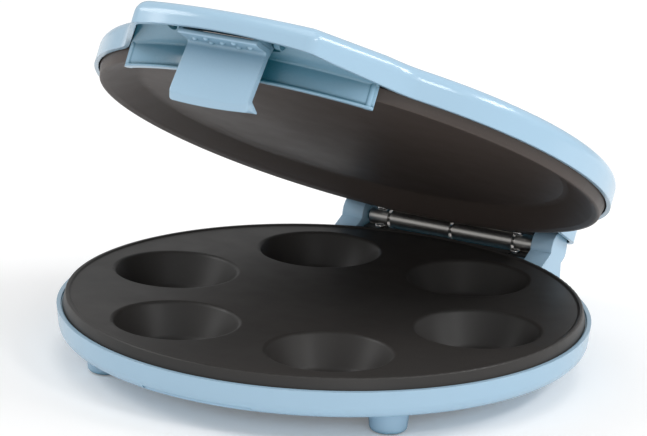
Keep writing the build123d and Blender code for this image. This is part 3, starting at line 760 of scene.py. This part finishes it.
@dataclass
class Workshop:
    """Frame, finishes and lid setting that every sub-assembly draws on."""

    frame: dict
    lid: LidSetting
    finishes: dict = field(default_factory=dict)
    weld: float = 1e-6
    same_place_digits: int = 5

    def finish(self, slot: str) -> bpy.types.Material:
        """Finish of a material slot, made once.

        Args:
            slot: Name of the slot.

        Returns:
            The material.
        """
        if slot not in self.finishes:
            finish = next(finish for finish in FINISHES if finish.name == slot)
            self.finishes[slot] = finish.build()
        return self.finishes[slot]

    def slot_of(self, node: str) -> str:
        """Material slot of a node."""
        rows = self.frame["record"]["subparts"]
        return next(row["material_slot"] for row in rows if row["node"] == node)

    def dress(self, *nodes: str, finish: str = "") -> None:
        """Give nodes of the frame their finish.

        Args:
            nodes: Names of the nodes.
            finish: Name of a finish that stands for the slot's own one.
        """
        for node in nodes:
            slot = finish or self.slot_of(node)
            materials = self.frame["nodes"][node].data.materials
            materials.clear()
            materials.append(self.finish(slot))
            LOG.info("dressed %s in %s", node, slot)

    def latch_pivot(self) -> Vector:
        """Where the latch turns, as the part stands at rest."""
        return Vector(joint_of(self.frame["record"], "latch_pivot")["pos_m"])

    def closing(self, body: Body) -> Matrix:
        """Turn of a body's pieces to the closed lid's place, none for the base."""
        return self.lid.opened().inverted() if body is Body.LID else Matrix.Identity(4)

    def solids_of(self, node: str, body: Body) -> list[tuple[Vector, Vector]]:
        """Boxes of a node's separate solids, with the lid closed.

        Args:
            node: Name of the node.
            body: The body that it rides on.

        Returns:
            Lowest and highest corner of each solid, from left to right.
        """
        shape = bmesh.new()
        shape.from_mesh(self.frame["nodes"][node].data)
        bmesh.ops.remove_doubles(shape, verts=shape.verts, dist=self.weld)
        shape.transform(self.closing(body))
        boxes = []
        for group in loose_groups(shape):
            low = Vector(min(point[axis] for point in group) for axis in range(3))
            high = Vector(max(point[axis] for point in group) for axis in range(3))
            boxes.append((low, high))
        shape.free()
        digits = self.same_place_digits
        return sorted(boxes, key=lambda box: (round(box[0].x, digits), round(box[0].y, digits)))

    def add_piece(
        self, name: str, mesh: bpy.types.Mesh, body: Body, node: str
    ) -> bpy.types.Object:
        """Put a finished mesh on its body in place of a node.

        Args:
            name: Name of the piece.
            mesh: Its mesh, in the frame's place.
            body: Body that it rides on.
            node: Node that it stands for.

        Returns:
            The new object.
        """
        slot = self.slot_of(node)
        mesh.name = name
        mesh.materials.clear()
        mesh.materials.append(self.finish(slot))
        piece = bpy.data.objects.new(name, mesh)
        bpy.context.scene.collection.objects.link(piece)
        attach(piece, body.value)
        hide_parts(node)
        LOG.info("built %s on %s in place of %s", name, body.value, node)
        return piece


def mesh_from(shape: bmesh.types.BMesh, name: str) -> bpy.types.Mesh:
    """Mesh of a finished shape, which is used up.

    Args:
        shape: The shape.
        name: Name of the mesh.

    Returns:
        The mesh.
    """
    mesh = bpy.data.meshes.new(name)
    shape.to_mesh(mesh)
    shape.free()
    return mesh


def lathe(profile: Outline, steps: int) -> bpy.types.Mesh:
    """Closed mesh turned about the Z axis.

    Args:
        profile: Radius and height from the lower pole to the upper one, in metres.
        steps: Number of steps round the axis.

    Returns:
        The mesh.
    """
    shape = bmesh.new()
    turns = [2.0 * math.pi * step / steps for step in range(steps)]
    rings = []
    for radius, height in profile:
        if radius == 0.0:
            points = [(0.0, 0.0, height)]
        else:
            points = [(radius * math.cos(turn), radius * math.sin(turn), height) for turn in turns]
        rings.append([shape.verts.new(point) for point in points])
    for lower, upper in zip(rings, rings[1:]):
        for step in range(steps):
            after = (step + 1) % steps
            if len(lower) == 1:
                shape.faces.new((lower[0], upper[after], upper[step]))
            elif len(upper) == 1:
                shape.faces.new((lower[step], lower[after], upper[0]))
            else:
                shape.faces.new((lower[step], lower[after], upper[after], upper[step]))
    bmesh.ops.recalc_face_normals(shape, faces=shape.faces)
    return mesh_from(shape, "turned")


def cut_from(mesh: bpy.types.Mesh, cutter: bpy.types.Mesh) -> bpy.types.Mesh:
    """Cut one mesh out of another.

    Args:
        mesh: Closed mesh to cut.
        cutter: Mesh that is taken away, of closed pieces that may cross.

    Returns:
        The new mesh.
    """
    collection = bpy.context.scene.collection
    body = bpy.data.objects.new("cut_body", mesh)
    tool = bpy.data.objects.new("cut_tool", cutter)
    collection.objects.link(body)
    collection.objects.link(tool)
    boolean = body.modifiers.new("cut", "BOOLEAN")
    boolean.operation = "DIFFERENCE"
    boolean.solver = "EXACT"
    boolean.use_self = True
    boolean.object = tool
    bpy.context.view_layer.update()
    graph = bpy.context.evaluated_depsgraph_get()
    result = bpy.data.meshes.new_from_object(body.evaluated_get(graph))
    bpy.data.objects.remove(body)
    bpy.data.objects.remove(tool)
    return result


def copies(
    mesh: bpy.types.Mesh, places: list[Matrix], smooth_angle: float = 35.0
) -> bpy.types.Mesh:
    """One mesh that holds a copy of another at each place.

    Args:
        mesh: Mesh to copy.
        places: Where each copy goes.
        smooth_angle: Edges sharper than this stay sharp, in degrees.

    Returns:
        The joined mesh.
    """
    shape = bmesh.new()
    for place in places:
        part = mesh.copy()
        part.transform(place)
        shape.from_mesh(part)
        bpy.data.meshes.remove(part)
    for face in shape.faces:
        face.smooth = True
    for edge in shape.edges:
        edge.smooth = edge.calc_face_angle(0.0) < math.radians(smooth_angle)
    return mesh_from(shape, "joined")


# Screws, in metres


@dataclass(frozen=True)
class ScrewSize:
    """Sizes of one kind of pan-head screw."""

    head_radius: float
    head_height: float
    shank_radius: float


CASE_SCREW = ScrewSize(3.4 * MM, 1.8 * MM, 1.9 * MM)
LEAF_SCREW = ScrewSize(2.7 * MM, 1.8 * MM, 1.5 * MM)
LINER_SCREW = ScrewSize(2.6 * MM, 1.6 * MM, 1.2 * MM)

BLOCK_FACES = (
    (3, 2, 1, 0), (4, 5, 6, 7), (0, 1, 5, 4), (1, 2, 6, 5), (2, 3, 7, 6), (3, 0, 4, 7),
)


@dataclass
class RecessedScrews:
    """Pan-head screws with a cross recess and a threaded shank.

    Shares are of the head's radius or height, the shank's radius or length, or the
    pitch of the thread. The head's stations are pairs of such shares.
    """

    shop: Workshop
    node: str
    body: Body
    head_way: HeadWay
    size: ScrewSize
    steps: int = 28
    seat_edge: Span = (0.97, 0.0)
    seat_round: Span = (1.0, 0.12)
    rim: Span = (1.0, 0.45)
    dome_flat: float = 0.72
    dome_steps: int = 6
    thread_pitch: float = 0.0011
    thread_length: float = 0.85
    thread_core: float = 0.8
    thread_stations: tuple[float, float, float] = (0.3, 0.35, 0.7)
    tip: float = 0.6
    neck: Span = (0.95, 0.06)
    cross_reach: float = 0.58
    cross_width: float = 0.13
    cross_heights: Span = (0.3, 1.3)
    cross_foot: Span = (0.45, 0.835)
    first_turn: float = 20.0
    next_turn: float = 37.0

    def head_profile(self) -> Outline:
        """Outline of the domed head above its seat.

        Returns:
            Radius and height from the seat to the crown.
        """
        stations = [self.seat_edge, self.seat_round, self.rim]
        for step in range(1, self.dome_steps):
            turn = math.radians(90.0 * step / self.dome_steps)
            out = self.dome_flat + (1.0 - self.dome_flat) * math.cos(turn)
            stations.append((out, self.rim[1] + (1.0 - self.rim[1]) * math.sin(turn)))
        stations.append((0.0, 1.0))
        return [(out * self.size.head_radius, up * self.size.head_height) for out, up in stations]

    def shank_profile(self, length: float) -> Outline:
        """Outline of the threaded shank below the seat.

        Args:
            length: Length of the shank in metres.

        Returns:
            Radius and height from the tip to the seat.
        """
        crest = self.size.shank_radius
        core, neck = crest * self.thread_core, crest * self.neck[0]
        pitch = self.thread_pitch
        start, rise, fall = self.thread_stations
        profile = [(0.0, -length), (core * self.tip, -length)]
        for turn in range(max(2, int(length * self.thread_length / pitch))):
            low = -length + pitch * (turn + start)
            profile += [(core, low), (crest, low + pitch * rise), (core, low + pitch * fall)]
        return [*profile, (neck, -length * self.neck[1]), (neck, 0.0)]

    def cross_cutter(self) -> bpy.types.Mesh:
        """Tapered cross that is cut into the head.

        Returns:
            Mesh of the two bars that cross.
        """
        shape = bmesh.new()
        reach = self.size.head_radius * self.cross_reach
        half = self.size.head_radius * self.cross_width
        floor, top = (self.size.head_height * share for share in self.cross_heights)
        for turn in (0.0, math.pi / 2):
            around = Matrix.Rotation(turn, 4, "Z")
            corners = []
            for height, (long_share, wide_share) in ((floor, self.cross_foot), (top, (1.0, 1.0))):
                x, y = reach * long_share, half * wide_share
                for corner in ((-x, -y, height), (x, -y, height), (x, y, height), (-x, y, height)):
                    corners.append(shape.verts.new(around @ Vector(corner)))
            for face in BLOCK_FACES:
                shape.faces.new([corners[index] for index in face])
        return mesh_from(shape, "cross")

    def build(self) -> bpy.types.Object:
        """Make the screws where the node's solids are.

        Returns:
            The new piece.
        """
        boxes = self.shop.solids_of(self.node, self.body)
        low, high = boxes[0]
        length = high.z - low.z - self.size.head_height
        screw = lathe(self.shank_profile(length) + self.head_profile(), self.steps)
        screw = cut_from(screw, self.cross_cutter())
        places = []
        opening = self.shop.closing(self.body).inverted()
        for index, (low, high) in enumerate(boxes):
            middle = (low + high) / 2
            turn = math.radians(self.first_turn + self.next_turn * index)
            if self.head_way is HeadWay.UP:
                seat = Matrix.Translation((middle.x, middle.y, high.z - self.size.head_height))
            else:
                seat = Matrix.Translation((middle.x, middle.y, low.z + self.size.head_height))
                seat = seat @ Matrix.Rotation(math.pi, 4, "X")
            places.append(opening @ seat @ Matrix.Rotation(turn, 4, "Z"))
        mesh = copies(screw, places)
        return self.shop.add_piece(f"{self.node}_recessed", mesh, self.body, self.node)


# The appliance, in millimetres


@dataclass
class BaseTray:
    """Shell, feet and gland of the base, with treaded pads.

    The pad's outline holds radius and height above its lowest point.
    """

    shop: Workshop
    nodes: tuple[str, ...] = ("base_shell", "feet")
    pad_steps: int = 40
    pad_profile: tuple[Span, ...] = (
        (0.0, 0.25), (1.1, 0.25), (1.3, 0.0), (2.5, 0.0), (2.7, 0.3), (3.3, 0.3), (3.5, 0.0),
        (5.2, 0.0), (5.5, 0.3), (5.5, 1.15), (0.0, 1.15),
    )

    def build(self) -> None:
        """Dress the nodes and make the pads and screws."""
        # the tray finish paints shade into tight creases only
        self.shop.dress(*self.nodes, finish="pale_blue_tray")
        self.shop.dress("cord_gland")
        self.pads()
        for node, way in (("foot_screws", HeadWay.UP), ("base_screws", HeadWay.DOWN)):
            RecessedScrews(self.shop, node, Body.BASE, way, CASE_SCREW).build()

    def pads(self) -> bpy.types.Object:
        """Make the four pads with their ring treads.

        Returns:
            The new piece.
        """
        profile = [(radius * MM, height * MM) for radius, height in self.pad_profile]
        pad = lathe(profile, self.pad_steps)
        places = []
        for low, high in self.shop.solids_of("foot_pads", Body.BASE):
            middle = (low + high) / 2
            places.append(Matrix.Translation((middle.x, middle.y, low.z)))
        return self.shop.add_piece("foot_pad_treads", copies(pad, places), Body.BASE, "foot_pads")


@dataclass
class LowerWorks:
    """Lower plate with the ring, shield and controls under it."""

    shop: Workshop
    nodes: tuple[str, ...] = (
        "lower_plate", "lower_heating_element", "lower_heat_shield", "thermostat",
        "thermal_fuse", "terminal_block",
    )

    def build(self) -> None:
        """Dress the nodes."""
        self.shop.dress(*self.nodes)


@dataclass
class BarrelHinge:
    """Both leaves, the pin and the leaf screws."""

    shop: Workshop
    nodes: tuple[str, ...] = ("hinge_lower_leaf", "hinge_upper_leaf", "hinge_pin")
    screws: tuple[tuple[str, Body, HeadWay], ...] = (
        ("lower_leaf_screws", Body.BASE, HeadWay.UP),
        ("upper_leaf_screws", Body.LID, HeadWay.DOWN),
    )

    def build(self) -> None:
        """Dress the nodes and make the screws."""
        self.shop.dress(*self.nodes)
        for node, body, way in self.screws:
            RecessedScrews(self.shop, node, body, way, LEAF_SCREW).build()


@dataclass
class UpperWorks:
    """Upper plate with the ring and the cover over it."""

    shop: Workshop
    nodes: tuple[str, ...] = ("upper_plate", "upper_heating_element", "upper_heat_shield")

    def build(self) -> None:
        """Dress the nodes and make the screws."""
        self.shop.dress(*self.nodes)
        way = HeadWay.UP
        RecessedScrews(self.shop, "upper_plate_screws", Body.LID, way, CASE_SCREW).build()


@dataclass
class LidCover:
    """Lid shell, top panel, pilot lenses and their lamps."""

    shop: Workshop
    nodes: tuple[str, ...] = (
        "lid_shell", "lid_top_panel", "power_lens", "ready_lens", "pilot_lamps",
    )

    def build(self) -> None:
        """Dress the nodes."""
        self.shop.dress(*self.nodes)


@dataclass
class HandleHollow:
    """Liner under the handle with its two screws, and the latch's pin."""

    shop: Workshop

    def build(self) -> None:
        """Dress the nodes and make the screws."""
        self.shop.dress("latch_pin")
        # the liner takes the darker copy of the pale blue plastic, with its painted shade
        self.shop.dress("handle_liner", finish="pale_blue_painted_shade_pocket")
        way = HeadWay.DOWN
        RecessedScrews(self.shop, "handle_liner_screws", Body.LID, way, LINER_SCREW).build()


@dataclass(frozen=True)
class Corner:
    """Corner of an outline, with the radius of its rounding.

    An arched corner lies further down the flap towards the middle of its width.
    """

    y: float
    z: float
    radius: float
    arched: bool = False


@dataclass
class FrontLatch:
    """Latch let go under the handle: finger pad with bumps, flap, hook and cheeks.

    Places are about the pivot, forward is negative, and the lid is closed. Angles are
    in degrees.
    """

    shop: Workshop
    half_width: float = 21.5
    middle_steps: int = 24
    corner_angles: tuple[float, ...] = (25.0, 50.0, 75.0)
    rounding_steps: int = 5
    hook_arch: float = 1.0
    hook_corner: float = 1.9
    flap_down: Span = (-0.172, -0.985)
    cheek_wall: float = 2.2
    cheek_inset: float = 0.15
    eye_radius: float = 3.6
    eye_inset: float = 0.3
    eye_chamfer: float = 0.4
    eye_steps: int = 32
    bore_radius: float = 1.56
    pad_level: float = -7.6
    bump_radius: float = 1.6
    bump_sink: float = 0.55
    bump_pitch: float = 15.0
    bump_top: float = 0.4
    bump_angles: tuple[float, ...] = (-75.0, -60.0, -45.0, -30.0, -15.0, 0.0, 20.0)
    bump_steps: int = 24
    bump_rows: tuple[tuple[int, float], ...] = ((2, -12.5), (3, -9.3), (2, -6.1))
    strip_outline: tuple[Corner, ...] = (
        Corner(-4.22, -32.06, 0.8),
        Corner(3.66, -35.24, 0.2),
        Corner(3.37, -35.98, 0.2),
        Corner(-6.15, -38.18, 0.9, arched=True),
        Corner(-8.12, -34.62, 2.2, arched=True),
        Corner(-3.4, -7.6, 1.8),
        Corner(-16.0, -7.6, 0.9),
        Corner(-16.0, -5.0, 0.9),
        Corner(-0.5, -5.0, 0.8),
        Corner(-0.3, -7.43, 0.6),
    )
    cheek_outline: tuple[Corner, ...] = (
        Corner(-16.0, -5.3, 0.1),
        Corner(-0.5, -5.3, 0.1),
        Corner(-0.4, -9.5, 0.2),
        Corner(3.4, 0.0, 0.3),
        Corner(-3.4, 1.0, 0.6),
        Corner(-15.0, -1.8, 1.2),
    )

    def rounded(self, corners: list[Corner] | tuple[Corner, ...]) -> Outline:
        """Outline with its corners rounded.

        Args:
            corners: The corners in order.

        Returns:
            The rounded outline.
        """
        points = [Vector((corner.y, corner.z)) for corner in corners]
        outline = []
        for index, (corner, point) in enumerate(zip(corners, points)):
            before = (points[index - 1] - point).normalized()
            after = (points[(index + 1) % len(points)] - point).normalized()
            run = corner.radius / math.tan(before.angle(after) / 2)
            start, end = point + before * run, point + after * run
            for step in range(self.rounding_steps):
                share = step / (self.rounding_steps - 1)
                near, far = start.lerp(point, share), point.lerp(end, share)
                outline.append(tuple(near.lerp(far, share)))
        return outline

    def section(self, x: float) -> Outline:
        """Outline of the strip at one place across its width.

        Args:
            x: Place across the width.

        Returns:
            The outline.
        """
        over = abs(x) - (self.half_width - self.hook_corner)
        lift = self.hook_corner - math.sqrt(self.hook_corner**2 - over**2) if over > 0 else 0.0
        drop = self.hook_arch * (1.0 - (x / self.half_width) ** 2) - lift
        forward, down = (along * drop for along in self.flap_down)
        corners = []
        for corner in self.strip_outline:
            if corner.arched:
                corner = Corner(corner.y + forward, corner.z + down, corner.radius)
            corners.append(corner)
        return self.rounded(corners)

    def loft(
        self, shape: bmesh.types.BMesh, places: list[float], outlines: list[Outline]
    ) -> None:
        """Skin a closed strip through outlines across the width.

        Args:
            shape: Mesh that takes the strip.
            places: Place of each outline across the width.
            outlines: The outlines, all with as many points.
        """
        rings = []
        for x, outline in zip(places, outlines):
            rings.append([shape.verts.new((x * MM, y * MM, z * MM)) for y, z in outline])
        for left, right in zip(rings, rings[1:]):
            for index in range(len(left)):
                after = (index + 1) % len(left)
                shape.faces.new((left[index], left[after], right[after], right[index]))
        caps = [shape.faces.new(rings[0][::-1]), shape.faces.new(rings[-1])]
        for cap in caps:
            cap.normal_update()
        bmesh.ops.triangulate(shape, faces=caps)

    def strip(self, shape: bmesh.types.BMesh) -> None:
        """Pad, flap and hook in one bent strip.

        Args:
            shape: Mesh that takes it.
        """
        straight = self.half_width - self.hook_corner
        turns = [math.radians(angle) for angle in self.corner_angles]
        ends = [straight + self.hook_corner * math.sin(turn) for turn in turns]
        half_steps = self.middle_steps / 2
        middle = [straight * (step / half_steps - 1.0) for step in range(self.middle_steps + 1)]
        places = [-end for end in reversed(ends)] + middle + ends
        self.loft(shape, places, [self.section(x) for x in places])

    def cheek(self, shape: bmesh.types.BMesh, side: int) -> None:
        """One side cheek from the pad up to the pivot.

        Args:
            shape: Mesh that takes it.
            side: Minus one for the left one and one for the right one.
        """
        outline = self.rounded(self.cheek_outline)
        outer = self.half_width - self.cheek_inset
        places = sorted((side * (outer - self.cheek_wall), side * outer))
        self.loft(shape, places, [outline, outline])

    def eye(self, shape: bmesh.types.BMesh, side: int) -> None:
        """Ring about the pin on one cheek.

        Args:
            shape: Mesh that takes it.
            side: Minus one for the left one and one for the right one.
        """
        inner = self.half_width - self.cheek_wall - self.eye_inset
        outer = self.half_width
        bevelled = self.eye_radius - self.eye_chamfer
        loop = (
            (inner, self.bore_radius), (inner, bevelled),
            (inner + self.eye_chamfer, self.eye_radius),
            (outer - self.eye_chamfer, self.eye_radius),
            (outer, bevelled), (outer, self.bore_radius),
        )
        rings = []
        for step in range(self.eye_steps):
            turn = 2.0 * math.pi * step / self.eye_steps
            y, z = math.cos(turn) * MM, math.sin(turn) * MM
            points = [(side * x * MM, radius * y, radius * z) for x, radius in loop]
            rings.append([shape.verts.new(point) for point in points])
        for step, ring in enumerate(rings):
            after = rings[(step + 1) % len(rings)]
            for index in range(len(loop)):
                other = (index + 1) % len(loop)
                shape.faces.new((ring[index], ring[other], after[other], after[index]))

    def bumps(self) -> bpy.types.Mesh:
        """Finger bumps under the pad in rows of two, three and two.

        Returns:
            Mesh of the seven bumps.
        """
        radius = self.bump_radius * MM
        turns = [math.radians(angle) for angle in self.bump_angles]
        sides = [(radius * math.cos(turn), radius * math.sin(turn)) for turn in turns]
        dome = [(0.0, -radius), *sides, (0.0, radius * self.bump_top)]
        height = self.pad_level + self.bump_sink
        places = []
        for count, reach in self.bump_rows:
            for index in range(count):
                x = (index - (count - 1) / 2) * self.bump_pitch
                places.append(Matrix.Translation((x * MM, reach * MM, height * MM)))
        return copies(lathe(dome, self.bump_steps), places)

    def build(self) -> bpy.types.Object:
        """Make the latch in place of its node.

        Returns:
            The new piece.
        """
        shape = bmesh.new()
        self.strip(shape)
        for side in (-1, 1):
            self.cheek(shape, side)
            self.eye(shape, side)
        shape.from_mesh(self.bumps())
        bmesh.ops.recalc_face_normals(shape, faces=shape.faces)
        whole = mesh_from(shape, "latch_whole")
        opened = self.shop.lid.opened()
        pivot = opened.inverted() @ self.shop.latch_pivot()
        mesh = copies(whole, [opened @ Matrix.Translation(pivot)])
        return self.shop.add_piece("finger_latch", mesh, Body.LATCH, "latch")


ASSEMBLIES = (
    BaseTray, LowerWorks, BarrelHinge, UpperWorks, LidCover, HandleHollow, FrontLatch,
)


def main() -> None:
    """Build the studio, the camera and the appliance."""
    logging.basicConfig(level=logging.INFO, format="%(message)s")
    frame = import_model()
    bpy.context.scene.view_settings.view_transform = "Standard"
    Studio().build()
    PhotoCamera().build()
    shop = Workshop(frame, LidSetting.from_record(frame["record"]))
    for assembly in ASSEMBLIES:
        LOG.info("building %s", assembly.__name__)
        assembly(shop).build()


if __name__ == "__main__":
    main()
